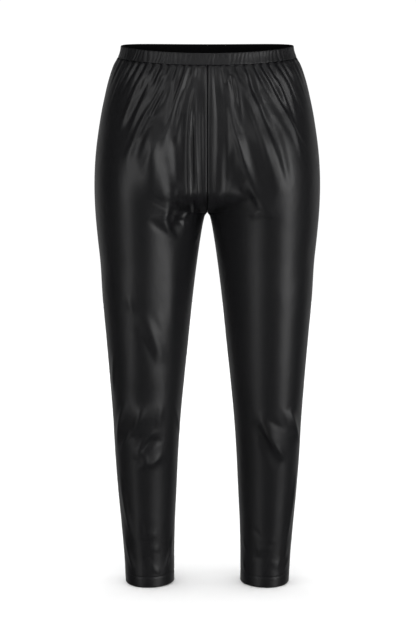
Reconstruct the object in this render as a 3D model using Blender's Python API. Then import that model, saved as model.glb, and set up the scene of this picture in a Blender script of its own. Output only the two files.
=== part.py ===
"""Cropped pull-on leggings in coated stretch cloth, in the shape they keep when worn.

A gathered elastic waistband carries four panels: a front and a back for each leg, sewn at the
centre front, centre back, inseams and side seams. The origin is the middle of the waist opening,
+X is the wearer's left, the front faces -Y and +Z is up. Lengths in the tables are millimetres.
"""

import bmesh
import bpy
import numpy as np

MM = 0.001

# Driving sizes, mm
CLOTH_WALL = 1.2
SEAM_GAP = 0.3
BAND_HEIGHT = 19.0
BAND_WALL = 3.0
BAND_EDGE = 0.8
BAND_RIBS = 96
POINTS_A_RIB = 4
RIB_RELIEF = 0.7
RIB_UNEVEN = 0.25
RIB_AT_EDGE = 0.35
LEG_BOTTOM = 886.0
CROTCH = 262.0
HEM_TURN = 19.0
HEM_WALL = 2.2
HEM_STEP = 2.0
HEM_TILT = 0.06
HEM_TILT_START = 700.0
WAIST_TILT = 0.15
WAIST_TILT_END = 170.0
WAIST_BOW = 5.0
PANEL_TOP = BAND_HEIGHT / 2 + SEAM_GAP

# The level sections of the filled garment. drop: depth below the waist. half_width: centre to the
# outer silhouette. join: how far the halves have grown together, from 0 at the crotch to 1 for a
# plain oval. skew: rounds the inner thigh. front, back: depth of each face from the centre line of
# the leg, which lies at y = centre.
SECTION_COLUMNS = ("drop", "half_width", "join", "skew", "front", "back", "centre")
SECTIONS = (
    (-15, 141.0, 1.000, 1.00, 102, 102, 0),
    (0, 143.0, 1.000, 1.00, 103, 103, 0),
    (10, 146.5, 1.000, 1.00, 105, 105, 0),
    (25, 153.6, 0.985, 1.00, 108, 109, 0),
    (45, 160.9, 0.925, 1.00, 110, 114, 0),
    (85, 171.4, 0.770, 1.00, 112, 122, 0),
    (125, 178.6, 0.605, 1.02, 113, 129, 0),
    (165, 183.7, 0.440, 1.05, 113, 133, 0),
    (210, 186.2, 0.230, 1.10, 111, 131, 2),
    (262, 185.0, 0.000, 1.14, 106, 121, 4),
    (300, 181.7, 0.000, 1.12, 99, 108, 3),
    (340, 177.4, 0.000, 1.10, 92, 97, 1),
    (400, 173.6, 0.000, 1.06, 83, 85, -3),
    (470, 167.4, 0.000, 1.02, 74, 75, -5),
    (540, 161.5, 0.000, 0.98, 66, 67, -6),
    (600, 157.3, 0.000, 0.95, 61, 62, -3),
    (665, 154.5, 0.000, 0.93, 56, 60, 7),
    (720, 151.0, 0.000, 0.92, 53, 57, 14),
    (790, 145.2, 0.000, 0.91, 50, 52, 21),
    (840, 141.3, 0.000, 0.90, 47, 49, 25),
    (890, 138.8, 0.000, 0.90, 47, 48, 27),
)

# Below the crotch the legs part in a round arch: distance from the centre to the inner leg.
GAP_COLUMNS = ("drop", "gap")
GAPS = (
    (262, 0.0),
    (266, 3.4),
    (272, 5.3),
    (280, 7.1),
    (300, 10.6),
    (340, 16.5),
    (400, 24.0),
    (470, 31.2),
    (540, 38.6),
    (600, 44.4),
    (665, 48.9),
    (720, 51.6),
    (790, 55.0),
    (840, 56.1),
    (890, 56.1),
)

# Between the thighs the cloth runs under in the crotch curve, a quarter oval this high, and blends
# into the thighs over this distance. It fades out over this share of the way to the thigh's top.
CROTCH_CURVE = 36.0
CROTCH_BLEND = 26.0
CROTCH_FADE = 0.78

# Gathers under the waistband, one row a ridge: distance along the seam from the centre seam to the
# ridge, how far down it runs, and how far it stands out.
GATHER_COLUMNS = ("ridge_at", "reach", "height")
GATHERS = {
    "front_left": (
        (5, 120, 1.6), (16, 70, 1.5), (26, 55, 2.2), (39, 110, 2.4), (54, 130, 2.6),
        (71, 75, 2.4), (83, 90, 2.4), (96, 140, 2.8), (112, 70, 2.2), (126, 110, 2.6),
        (139, 60, 1.9), (153, 80, 1.8), (168, 50, 1.5), (183, 45, 1.3),
    ),
    "front_right": (
        (9, 110, 1.7), (20, 50, 2.4), (33, 140, 2.8), (44, 100, 2.0), (57, 60, 2.2),
        (70, 120, 2.6), (83, 60, 1.7), (98, 80, 2.4), (111, 50, 1.7), (124, 70, 2.0),
        (138, 90, 1.6), (152, 50, 1.4), (167, 60, 1.4), (182, 45, 1.2),
    ),
}
SEAM_QUARTER = 199.0
GATHER_START = 0.55
GATHER_FULL = 14.0
GATHER_SHARPNESS = 1.4
POINTS_A_GATHER = 3

# The gathers of the back keep the front's uneven rhythm by rule: about so many a panel, each moved,
# lengthened and raised by up to these amounts.
BACK_GATHERS = 14
BACK_MOVED = 2.6
BACK_REACH, BACK_LENGTHENED = 80.0, 35.0
BACK_HEIGHT, BACK_RAISED = 2.1, 0.6
BACK_RHYTHM = {"back_left": 0.9, "back_right": 2.6}

# How far the lines of the gathers fan out towards the hips, as a share of the panel's width.
FAN_COLUMNS = ("drop", "spread")
FAN = (
    (0, 0.00),
    (10, 0.00),
    (45, 0.05),
    (85, 0.10),
    (130, 0.12),
    (180, 0.09),
    (240, 0.02),
    (262, 0.00),
    (900, 0.00),
)

# The largest folds, each a soft ridge, or a trough where its height is below 0. Its ends and middle
# are given by their distance from the centre line, seen from the front or back, and their drop.
FOLD_COLUMNS = ("x", "drop", "mid_x", "mid_drop", "end_x", "end_drop", "width", "height")
FOLDS = {
    "front_left": (
        (52, 30, 83, 108, 127, 239, 13, 3.5),
        (28, 44, 32, 160, 20, 250, 12, -3.0),
        (34, 84, 52, 164, 82, 252, 12, 3.0),
        (79, 55, 103, 100, 146, 165, 12, 2.5),
        (33, 214, 60, 232, 84, 254, 11, -4.0),
        (58, 212, 80, 238, 106, 270, 12, 3.0),
        (84, 584, 104, 626, 126, 664, 11, 3.5),
        (80, 606, 99, 650, 120, 682, 10, -3.0),
        (134, 580, 142, 606, 154, 650, 11, 3.0),
    ),
    "front_right": (
        (84, 100, 88, 165, 90, 240, 18, 5.5),
        (34, 96, 38, 165, 34, 245, 15, -5.5),
        (90, 90, 115, 140, 134, 190, 12, 2.5),
        (46, 232, 67, 264, 50, 300, 12, 4.0),
        (36, 268, 44, 274, 58, 296, 11, -3.5),
        (108, 418, 88, 460, 73, 505, 10, 3.0),
        (104, 570, 113, 600, 125, 630, 12, 3.0),
        (112, 658, 90, 652, 66, 640, 10, 3.0),
        (112, 684, 92, 678, 68, 668, 10, -1.8),
    ),
    "back_left": (
        (60, 50, 92, 120, 122, 205, 14, 3.0),
        (26, 262, 74, 288, 132, 300, 13, 3.5),
        (36, 292, 82, 318, 126, 324, 12, -3.0),
        (136, 588, 100, 604, 62, 596, 12, 4.0),
        (132, 614, 96, 630, 60, 622, 11, -3.5),
        (122, 690, 102, 730, 90, 790, 12, 2.5),
    ),
    "back_right": (
        (48, 60, 78, 130, 100, 215, 14, 3.0),
        (30, 256, 82, 276, 140, 284, 13, 3.5),
        (34, 288, 78, 308, 120, 312, 12, -3.0),
        (64, 580, 100, 598, 138, 586, 12, 4.0),
        (60, 606, 94, 624, 134, 616, 11, -3.5),
        (80, 700, 96, 745, 118, 800, 12, 2.5),
    ),
}
FOLD_PIECES = 12
SEAM_FLAT = 16.0

# Rows of points down a panel: where each stretch starts, how many rows it has and the number of
# points across. A stretch that eases in crowds its rows against the crotch.
ROW_COLUMNS = ("drop", "rows", "across", "crowd")
ROWS = (
    (PANEL_TOP, 6, BACK_GATHERS * POINTS_A_GATHER, "even"),
    (76.0, 5, 21, "even"),
    (150.0, 9, 16, "end"),
    (CROTCH, 6, 16, "start"),
    (340.0, 17, 14, "even"),
)

# Points of a section, the distance over which its slopes are read, and the least that a blend or a
# length may be.
SAMPLES = 361
SLOPE_STEP = 0.5
LEAST = 0.01
SHARP_ANGLE = 50


def eased(at, table, columns, name):
    """A table's named column at these drops, on a smooth curve through its rows."""
    places = np.array([row[0] for row in table], float)
    values = np.array([row[columns.index(name)] for row in table], float)
    slopes = np.gradient(values, places)
    at = np.clip(np.asarray(at, float), places[0], places[-1])
    row = np.clip(np.searchsorted(places, at) - 1, 0, len(places) - 2)
    span = places[row + 1] - places[row]
    t = (at - places[row]) / span
    return (
        values[row] * (1 + 2 * t) * (1 - t) ** 2
        + values[row + 1] * t ** 2 * (3 - 2 * t)
        + slopes[row] * span * t * (1 - t) ** 2
        - slopes[row + 1] * span * t ** 2 * (1 - t)
    )


def smooth_step(t):
    t = np.clip(t, 0.0, 1.0)
    return t * t * (3 - 2 * t)


def girth(drop):
    """The level section of the wearer's left half at one drop, as points from the centre front or
    inseam round the side to the centre back or inseam, and the distance of each along it.

    The two halves together are a Cassini oval: one waisted loop above the crotch, two below it. The
    distances are those along the oval, before the cloth between the thighs is drawn out of it.
    """
    size = {name: float(eased(drop, SECTIONS, SECTION_COLUMNS, name)) for name in SECTION_COLUMNS[1:]}
    half = size["half_width"]
    if drop <= CROTCH:
        inner = -((max(size["join"], 0.0) * half) ** 2)
    else:
        gap = float(eased(drop, GAPS, GAP_COLUMNS, "gap"))
        inner = (half * (gap / half) ** (1 / size["skew"])) ** 2
    spread = (half ** 2 + inner) / 2
    radius = (half ** 2 - inner) / 2
    turn = np.pi * np.sin(np.linspace(-np.pi / 2, np.pi / 2, SAMPLES))
    oval = np.sqrt(spread + radius * np.exp(1j * turn))
    tallest = radius / (2 * np.sqrt(spread)) if radius <= 2 * spread else np.sqrt(radius - spread)
    depth = np.where(turn < 0, size["front"], size["back"]) / tallest
    x = half * (np.maximum(oval.real, 0.0) / half) ** size["skew"] + SEAM_GAP / 2
    y = oval.imag * depth
    along = np.concatenate([[0.0], np.cumsum(np.hypot(np.diff(x), np.diff(y)))])
    if drop < CROTCH:
        y = y + web_between(x, y, turn, size, CROTCH - drop)
    near_waist = 1 - smooth_step(drop / WAIST_TILT_END)
    hem_tilt = HEM_TILT * smooth_step((drop - HEM_TILT_START) / (LEG_BOTTOM - HEM_TILT_START))
    bow = WAIST_BOW * near_waist * ((x / half) ** 2 - 0.5)
    z = (WAIST_TILT * near_waist + hem_tilt) * y + bow - drop
    return np.stack([x, y + size["centre"], z], axis=1), along


def web_between(x, y, turn, size, rise):
    """How far the cloth between the thighs stands out of the valley, this high above the crotch."""
    share = np.sqrt(1 - (1 - min(rise / CROTCH_CURVE, 1.0)) ** 2)
    soft = max(4 * CROTCH_BLEND * share * (1 - share), LEAST)
    depth = np.where(turn < 0, size["front"], size["back"])
    web = depth * share
    peak = x[np.argmax(np.abs(y))]
    within = smooth_step((peak - x) / (peak * CROTCH_FADE))
    height = np.abs(y)
    near = np.maximum(1 - np.abs(height - web) / soft, 0.0)
    bridged = np.maximum(height, web) + soft * near ** 2 / 4
    return np.sign(turn) * within * (np.minimum(bridged, depth) - height)


def panel_curve(drop, face):
    """Half of a section, from the centre seam or inseam to the side seam, with its distances."""
    ring, along = girth(drop)
    middle = SAMPLES // 2
    if face == "front":
        return ring[: middle + 1], along[: middle + 1]
    return ring[: middle - 1 : -1], along[-1] - along[: middle - 1 : -1]


def read_off(curve, where):
    """Points at these distances along a panel's curve."""
    half, along = curve
    return np.stack([np.interp(where, along, half[:, axis]) for axis in range(3)], axis=1)


def lay(drop, face, share):
    """Points on the plain garment at these shares of the panel's width, and their outward normals."""
    found = []
    for at in (drop - SLOPE_STEP, drop, drop + SLOPE_STEP):
        curve = panel_curve(at, face)
        first = SEAM_GAP / 2 if drop >= CROTCH else 0.0
        length = curve[1][-1]
        found.append((curve, first + np.asarray(share) * (length - first - SEAM_GAP / 2)))
    curve, where = found[1]
    across = read_off(curve, where + SLOPE_STEP) - read_off(curve, where - SLOPE_STEP)
    down = read_off(*found[2]) - read_off(*found[0])
    normal = np.cross(across, down)
    if face == "front":
        normal = -normal
    normal /= np.linalg.norm(normal, axis=1)[:, None]
    return read_off(curve, where), normal, curve[1][-1]


def gather_rows(name):
    """The gathers of a panel: those of the front from their table, those of the back by rule."""
    if name in GATHERS:
        return [dict(zip(GATHER_COLUMNS, row)) for row in GATHERS[name]]
    rhythm = BACK_RHYTHM[name]
    spacing = SEAM_QUARTER / BACK_GATHERS
    return [
        {
            "ridge_at": spacing * (number + 0.5) + BACK_MOVED * np.sin(2.4 * number + rhythm),
            "reach": BACK_REACH + BACK_LENGTHENED * np.sin(2.9 * number + rhythm),
            "height": BACK_HEIGHT + BACK_RAISED * np.sin(1.7 * number + rhythm),
        }
        for number in range(BACK_GATHERS)
    ]


def gather_marks(name):
    """Where the troughs between a panel's gathers fall, as shares of its width at the seam."""
    ridges = [row["ridge_at"] / SEAM_QUARTER for row in gather_rows(name)]
    between = [(a + b) / 2 for a, b in zip(ridges, ridges[1:])]
    return np.array([0.0] + between + [1.0])


def fanned(share, drop):
    """Shares of the width moved outwards as the gathers spread to the hips."""
    share = np.clip(share, 0.0, 1.0)
    spread = float(eased(drop, FAN, FAN_COLUMNS, "spread"))
    return share + spread * np.sin(np.pi * share)


def gathers(name, drop, share):
    """Height of the gathers at these unfanned shares of the width."""
    marks = gather_marks(name)
    height = np.zeros(len(share))
    start = GATHER_START + (1 - GATHER_START) * smooth_step((drop - PANEL_TOP) / GATHER_FULL)
    for row, low, high in zip(gather_rows(name), marks, marks[1:]):
        inside = (share >= low) & (share <= high)
        across = (share - low) / (high - low)
        fade = 1 - smooth_step((drop - PANEL_TOP) / row["reach"])
        wave = 2 * np.sin(np.pi * np.clip(across, 0, 1)) ** GATHER_SHARPNESS - 1
        height = np.where(inside, row["height"] * start * fade * wave, height)
    return height


def fold_paths(name):
    """A panel's folds as broken lines on the flat cloth: distance from its inner edge, and drop."""
    face = name.split("_")[0]
    t = np.linspace(0, 1, FOLD_PIECES + 1)[:, None]
    paths = []
    for row in FOLDS[name]:
        fold = dict(zip(FOLD_COLUMNS, row))
        start = np.array((fold["x"], fold["drop"]), float)
        middle = np.array((fold["mid_x"], fold["mid_drop"]), float)
        end = np.array((fold["end_x"], fold["end_drop"]), float)
        pull = 2 * middle - (start + end) / 2
        line = start * (1 - t) ** 2 + 2 * pull * t * (1 - t) + end * t ** 2
        for point in line:
            half, along = panel_curve(point[1], face)
            point[0] = np.interp(point[0], half[:, 0], along)
        paths.append((line, fold["width"], fold["height"]))
    return paths


def folds(paths, along, drop):
    """Height of the folds at these distances along one row of a panel."""
    height = np.zeros(len(along))
    here = np.stack([along, np.full(len(along), drop)], axis=1)
    for line, width, rise in paths:
        nearest = np.full(len(along), np.inf)
        fade = np.zeros(len(along))
        for number, (a, b) in enumerate(zip(line, line[1:])):
            t = np.clip((here - a) @ (b - a) / ((b - a) @ (b - a)), 0, 1)
            apart = np.linalg.norm(here - a - t[:, None] * (b - a), axis=1)
            closer = apart < nearest
            nearest = np.where(closer, apart, nearest)
            fade = np.where(closer, np.sin(np.pi * (number + t) / FOLD_PIECES), fade)
        height += rise * np.sqrt(np.maximum(fade, 0.0)) * np.exp(-((nearest / width) ** 2))
    return height


def row_drops():
    """Every row of a panel from its top to its hem, with its number of points across."""
    rows = []
    stretches = [dict(zip(ROW_COLUMNS, row)) for row in ROWS]
    turn = LEG_BOTTOM - HEM_TURN
    ends = [stretch["drop"] for stretch in stretches[1:]] + [turn - HEM_STEP / 2]
    for stretch, end in zip(stretches, ends):
        start = stretch["drop"]
        for number in range(stretch["rows"]):
            t = number / stretch["rows"]
            if stretch["crowd"] == "end":
                t = 1 - (1 - t) ** 2
            elif stretch["crowd"] == "start":
                t = t ** 2
            rows.append((start + (end - start) * t, stretch["across"]))
    across = stretches[-1]["across"]
    return rows + [(turn - HEM_STEP / 2, across), (turn + HEM_STEP / 2, across), (LEG_BOTTOM, across)]


def column_shares(name, across):
    """Shares of the width where a row has its points, set on the gathers in the gathered stretch."""
    if across != BACK_GATHERS * POINTS_A_GATHER:
        return np.linspace(0, 1, across + 1)
    marks = gather_marks(name)
    steps = np.arange(POINTS_A_GATHER) / POINTS_A_GATHER
    shares = [low + (high - low) * steps for low, high in zip(marks, marks[1:])]
    return np.concatenate(shares + [[1.0]])


def bridge(mesh, upper, lower):
    """Triangles between two rows of points that may differ in number."""
    i = j = 0
    last_i, last_j = len(upper) - 1, len(lower) - 1
    while i < last_i or j < last_j:
        if j == last_j or (i < last_i and (i + 1) * last_j <= (j + 1) * last_i):
            mesh.faces.new((upper[i], lower[j], upper[i + 1]))
            i += 1
        else:
            mesh.faces.new((upper[i], lower[j], lower[j + 1]))
            j += 1


def finish_object(name, mesh, colour, roughness):
    """A closed mesh, made an object with its own material."""
    bmesh.ops.recalc_face_normals(mesh, faces=mesh.faces)
    data = bpy.data.meshes.new(name)
    mesh.to_mesh(data)
    mesh.free()
    data.shade_smooth()
    data.set_sharp_from_angle(angle=np.radians(SHARP_ANGLE))
    material = bpy.data.materials.new(name + "_cloth")
    material.use_nodes = True
    shader = material.node_tree.nodes["Principled BSDF"]
    shader.inputs["Base Color"].default_value = (*colour, 1.0)
    shader.inputs["Roughness"].default_value = roughness
    shader.inputs["Metallic"].default_value = 0.0
    data.materials.append(material)
    piece = bpy.data.objects.new(name, data)
    bpy.context.scene.collection.objects.link(piece)
    return piece


def make_panel(name):
    """One cut panel: its outer and inner points row by row, closed along its four edges."""
    face, side = name.split("_")
    mirror = -1 if side == "right" else 1
    mesh = bmesh.new()
    outer_rows, inner_rows = [], []
    rows = row_drops()
    paths = fold_paths(name)
    for number, (drop, across) in enumerate(rows):
        flat = column_shares(name, across)
        shares = fanned(flat, drop)
        points, normal, length = lay(drop, face, shares)
        if number in (0, len(rows) - 1):
            normal[:, 2] = 0.0
        normal[0, 0 if drop <= CROTCH else 1] = 0.0
        if drop == CROTCH:
            normal[0] = (0.0, 0.0, -1.0)
        normal[-1, 1] = 0.0
        normal /= np.linalg.norm(normal, axis=1)[:, None]
        along = shares * length
        flat_at_seams = smooth_step(along / SEAM_FLAT) * smooth_step((length - along) / SEAM_FLAT)
        height = gathers(name, drop, flat) + folds(paths, along, drop) * flat_at_seams
        wall = CLOTH_WALL if drop < LEG_BOTTOM - HEM_TURN else HEM_WALL
        outer = points + normal * height[:, None]
        inner = outer - normal * wall
        inner[:, 0] = np.maximum(inner[:, 0], SEAM_GAP / 2)
        for rows_of, at in ((outer_rows, outer), (inner_rows, inner)):
            rows_of.append([mesh.verts.new((mirror * x * MM, y * MM, z * MM)) for x, y, z in at])
    for surface in (outer_rows, inner_rows):
        for upper, lower in zip(surface, surface[1:]):
            bridge(mesh, upper, lower)
    bridge(mesh, outer_rows[0], inner_rows[0])
    bridge(mesh, outer_rows[-1], inner_rows[-1])
    for edge in (0, -1):
        bridge(mesh, [row[edge] for row in outer_rows], [row[edge] for row in inner_rows])
    return finish_object(name, mesh, (0.022, 0.022, 0.025), 0.36)


def closed_girth(drop, count):
    """Evenly spaced points of a whole waist section, with outward level normals."""
    left = girth(drop)[0] - (SEAM_GAP / 2, 0, 0)
    ring = np.concatenate([left, (left * (-1, 1, 1))[-2:0:-1]])
    ring = np.concatenate([ring, ring[:1]])
    along = np.concatenate([[0.0], np.cumsum(np.linalg.norm(np.diff(ring, axis=0), axis=1))])
    where = np.linspace(0, along[-1], count, endpoint=False)
    points = np.stack([np.interp(where, along, ring[:, axis]) for axis in range(3)], axis=1)
    tangent = np.roll(points, -1, axis=0) - np.roll(points, 1, axis=0)
    normal = np.stack([tangent[:, 1], -tangent[:, 0], np.zeros(count)], axis=1)
    return points, normal / np.linalg.norm(normal, axis=1)[:, None]


def make_waistband():
    """The elastic's casing: a flat ring with ribs raised on its outer face over a plain inside."""
    mesh = bmesh.new()
    count = BAND_RIBS * POINTS_A_RIB
    rib = np.arange(count) / POINTS_A_RIB
    rib_number = np.floor(rib)
    uneven = 1 - RIB_UNEVEN + RIB_UNEVEN * np.sin(1.9 * rib_number) * np.cos(0.7 * rib_number)
    wave = np.sin(np.pi * (rib % 1.0)) ** 2 * uneven
    half = BAND_HEIGHT / 2
    outer_profile = ((-half, -BAND_EDGE), (-half + BAND_EDGE, 0.0), (half, 0.0))
    inner_profile = ((half, -BAND_WALL), (-half + BAND_EDGE, -BAND_WALL), (-half, -BAND_WALL + BAND_EDGE))
    loops = []
    for profile, across, ribbed in ((outer_profile, count, True), (inner_profile, BAND_RIBS // 2, False)):
        for drop, out in profile:
            points, normal = closed_girth(drop, across)
            relief = RIB_RELIEF * (RIB_AT_EDGE if abs(drop) == half else 1.0)
            lift = out + (relief * wave if ribbed else np.zeros(across))
            at = points + normal * lift[:, None]
            loops.append([mesh.verts.new((x * MM, y * MM, z * MM)) for x, y, z in at])
    for upper, lower in zip(loops, loops[1:] + loops[:1]):
        bridge(mesh, upper + upper[:1], lower + lower[:1])
    return finish_object("waistband", mesh, (0.024, 0.024, 0.027), 0.42)


def main():
    for old in list(bpy.data.objects):
        bpy.data.objects.remove(old)
    make_waistband()
    for name in ("front_left", "front_right", "back_left", "back_right"):
        make_panel(name)


main()
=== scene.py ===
import bpy
import numpy as np
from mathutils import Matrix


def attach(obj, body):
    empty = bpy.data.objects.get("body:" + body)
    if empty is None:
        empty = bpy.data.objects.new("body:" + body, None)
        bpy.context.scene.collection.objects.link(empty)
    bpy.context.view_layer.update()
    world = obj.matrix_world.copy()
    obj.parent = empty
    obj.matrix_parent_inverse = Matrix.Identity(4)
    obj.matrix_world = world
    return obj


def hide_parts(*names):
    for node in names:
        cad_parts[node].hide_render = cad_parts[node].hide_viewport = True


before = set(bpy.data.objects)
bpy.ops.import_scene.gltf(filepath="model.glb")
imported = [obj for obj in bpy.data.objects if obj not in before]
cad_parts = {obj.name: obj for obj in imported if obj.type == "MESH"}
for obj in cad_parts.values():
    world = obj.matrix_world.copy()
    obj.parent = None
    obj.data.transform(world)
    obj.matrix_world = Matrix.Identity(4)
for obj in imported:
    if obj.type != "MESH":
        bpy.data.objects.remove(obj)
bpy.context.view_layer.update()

MM = 0.001

# ---------------------------------------------------------------------------------------------
# Camera: at hip height in front of the leggings, looking slightly down, with a long lens, so
# that the inside of the back waist shows above the front one.
# ---------------------------------------------------------------------------------------------
CAMERA_PLACE = (0.0012, -2.6, -0.2015)
CAMERA_DOWN = 4.95
CAMERA_LENS = 90.5
CAMERA_SENSOR = 36.0

camera_data = bpy.data.cameras.new("camera")
camera_data.lens = CAMERA_LENS
camera_data.sensor_width = CAMERA_SENSOR
camera = bpy.data.objects.new("camera", camera_data)
camera.location = CAMERA_PLACE
camera.rotation_euler = (np.radians(90 - CAMERA_DOWN), 0.0, 0.0)
bpy.context.scene.collection.objects.link(camera)
bpy.context.scene.camera = camera


# ---------------------------------------------------------------------------------------------
# Studio: a white floor and a white backdrop that only the camera sees, so that the coated cloth
# mirrors softboxes and a dim grey room. Low suns light the floor alone, and the softboxes in front,
# behind and overhead light the leggings alone.
# ---------------------------------------------------------------------------------------------
FLOOR_HEIGHT = -0.8895
FLOOR_RADIUS = 6.0
FLOOR_WHITE = (0.92, 0.92, 0.92)
BACKDROP_RADIUS = 20.0
BACKDROP_GLOW = 1.05
ROOM_GREY = 0.022
LOW_LIGHTS = 8
LOW_LIGHT_RISE = 33
LOW_LIGHT_WIDTH = 40
LOW_LIGHT_POWER = 0.95
SOFTBOX_COLUMNS = ("name", "turn", "middle", "away", "wide", "tall", "power")
SOFTBOXES = (
    ("key", 50, 0.00, 2.6, 1.40, 1.8, 26.0),
    ("key_low", 50, -1.45, 2.6, 1.30, 1.1, 6.4),
    ("fill", -45, 0.40, 2.6, 0.85, 2.6, 14.5),
    ("fill_low", -45, -1.65, 2.6, 0.85, 1.5, 3.4),
    ("front", 0, 1.10, 2.7, 1.60, 1.0, 6.0),
    ("right_rim", 134, -0.45, 2.4, 0.70, 2.8, 2.6),
    ("left_rim", -134, -0.45, 2.4, 0.70, 2.8, 1.8),
    ("back_key", 158, -0.45, 2.6, 0.90, 2.6, 3.6),
    ("back_fill", -152, -0.45, 2.6, 0.90, 2.6, 2.8),
)
OVERHEAD_HEIGHT = 2.2
OVERHEAD_FORWARD = 0.6
OVERHEAD_WIDTH = 2.0
OVERHEAD_POWER = 12.0


class Wired:
    """A socket in a material. Sums and products of sockets add their own Math nodes."""

    def __init__(self, tree, socket=None):
        self.tree = tree
        self.socket = socket

    def add(self, kind, settings=None, values=None, output=0):
        node = self.tree.nodes.new(kind)
        for name, value in (settings or {}).items():
            setattr(node, name, value)
        for name, value in (values or {}).items():
            if isinstance(value, Wired):
                self.tree.links.new(value.socket, node.inputs[name])
            else:
                node.inputs[name].default_value = value
        return Wired(self.tree, node.outputs[output])

    def math(self, operation, first, second):
        return self.add("ShaderNodeMath", {"operation": operation}, {0: first, 1: second})

    def __add__(self, other):
        return self.math("ADD", self, other)

    __radd__ = __add__

    def __mul__(self, other):
        return self.math("MULTIPLY", self, other)


def new_material(name, colour, roughness):
    """A material with its shader, and a start for its patterns."""
    material = bpy.data.materials.new(name)
    material.use_nodes = True
    shader = material.node_tree.nodes["Principled BSDF"]
    shader.inputs["Base Color"].default_value = (*colour, 1.0)
    shader.inputs["Roughness"].default_value = roughness
    return material, shader, Wired(material.node_tree)


def hang_light(name, kind, power, place, turned, lit):
    """A light that reaches the pieces of one collection and nothing else."""
    light = bpy.data.lights.new(name, kind)
    light.energy = power
    lamp = bpy.data.objects.new(name, light)
    lamp.location = place
    lamp.rotation_euler = turned
    bpy.context.scene.collection.objects.link(lamp)
    lamp.light_linking.receiver_collection = lit
    return light


bpy.ops.object.select_all(action="DESELECT")
bpy.ops.mesh.primitive_circle_add(
    vertices=96, radius=FLOOR_RADIUS, fill_type="NGON", location=(0, 0, FLOOR_HEIGHT)
)
floor = bpy.context.object
floor.name = "floor"
floor_finish, floor_shader, _ = new_material("floor_paint", FLOOR_WHITE, roughness=0.9)
floor_shader.inputs["Specular IOR Level"].default_value = 0.0
floor.data.materials.append(floor_finish)
floor.visible_glossy = False
floor.visible_shadow = False

bpy.ops.mesh.primitive_uv_sphere_add(segments=48, ring_count=24, radius=BACKDROP_RADIUS)
backdrop = bpy.context.object
backdrop.name = "backdrop"
backdrop_finish, backdrop_shader, _ = new_material(
    "backdrop_paint", (0.0, 0.0, 0.0), roughness=1.0
)
backdrop_shader.inputs["Specular IOR Level"].default_value = 0.0
backdrop_shader.inputs["Emission Color"].default_value = (1.0, 1.0, 1.0, 1.0)
backdrop_shader.inputs["Emission Strength"].default_value = BACKDROP_GLOW
backdrop.data.materials.append(backdrop_finish)
backdrop.visible_diffuse = False
backdrop.visible_glossy = False
backdrop.visible_shadow = False

room = bpy.data.worlds.new("room")
room.use_nodes = True
room.node_tree.nodes["Background"].inputs["Color"].default_value = (1.0, 1.0, 1.0, 1.0)
room.node_tree.nodes["Background"].inputs["Strength"].default_value = ROOM_GREY
bpy.context.scene.world = room
bpy.context.scene.view_settings.view_transform = "Standard"

studio_floor = bpy.data.collections.new("studio_floor")
studio_floor.objects.link(floor)
for number in range(LOW_LIGHTS):
    turn = 2 * np.pi * (number + 0.5) / LOW_LIGHTS
    turned = (np.radians(90 - LOW_LIGHT_RISE), 0.0, turn)
    low_light = hang_light(
        f"low_light_{number + 1}", "SUN", LOW_LIGHT_POWER, (0.0, 0.0, 0.0), turned, studio_floor
    )
    low_light.angle = np.radians(LOW_LIGHT_WIDTH)

garment = bpy.data.collections.new("garment")
bpy.context.scene.collection.children.link(garment)
for row in SOFTBOXES:
    box = dict(zip(SOFTBOX_COLUMNS, row))
    turn = np.radians(box["turn"])
    place = (box["away"] * np.sin(turn), -box["away"] * np.cos(turn), box["middle"])
    turned = (np.pi / 2, 0.0, turn)
    softbox = hang_light(box["name"] + "_softbox", "AREA", box["power"], place, turned, garment)
    softbox.shape = "RECTANGLE"
    softbox.size = box["wide"]
    softbox.size_y = box["tall"]

place = (0.0, -OVERHEAD_FORWARD, OVERHEAD_HEIGHT)
overhead = hang_light("overhead_softbox", "AREA", OVERHEAD_POWER, place, (0.0, 0.0, 0.0), garment)
overhead.size = OVERHEAD_WIDTH


# ---------------------------------------------------------------------------------------------
# The four panels, a front and a back for each leg: coated stretch cloth with a leather look,
# cut in one piece from the waist to the hem, sewn at the centre, the inseams and the sides. The
# tops are gathered by the elastic, and the ends are turned up inside by 19 mm and stitched.
# ---------------------------------------------------------------------------------------------
PANELS = ("front_left", "front_right", "back_left", "back_right")
BAND_HEIGHT = 19.0
CLOTH_WALL = 0.9
HEM_WALL = 2.0
HEM_STEP = 1.5
HEM_TURN = 19.0
SEAM_GAP = 0.06
TOP_GAP = 0.05
LEG_BOTTOM = 886.0
CROTCH = 262.0
HEM_TILT = 0.06
HEM_TILT_START = 700.0
WAIST_TILT = 0.15
WAIST_TILT_END = 170.0
WAIST_BOW = 5.0
PANEL_TOP = BAND_HEIGHT / 2 + TOP_GAP

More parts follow.
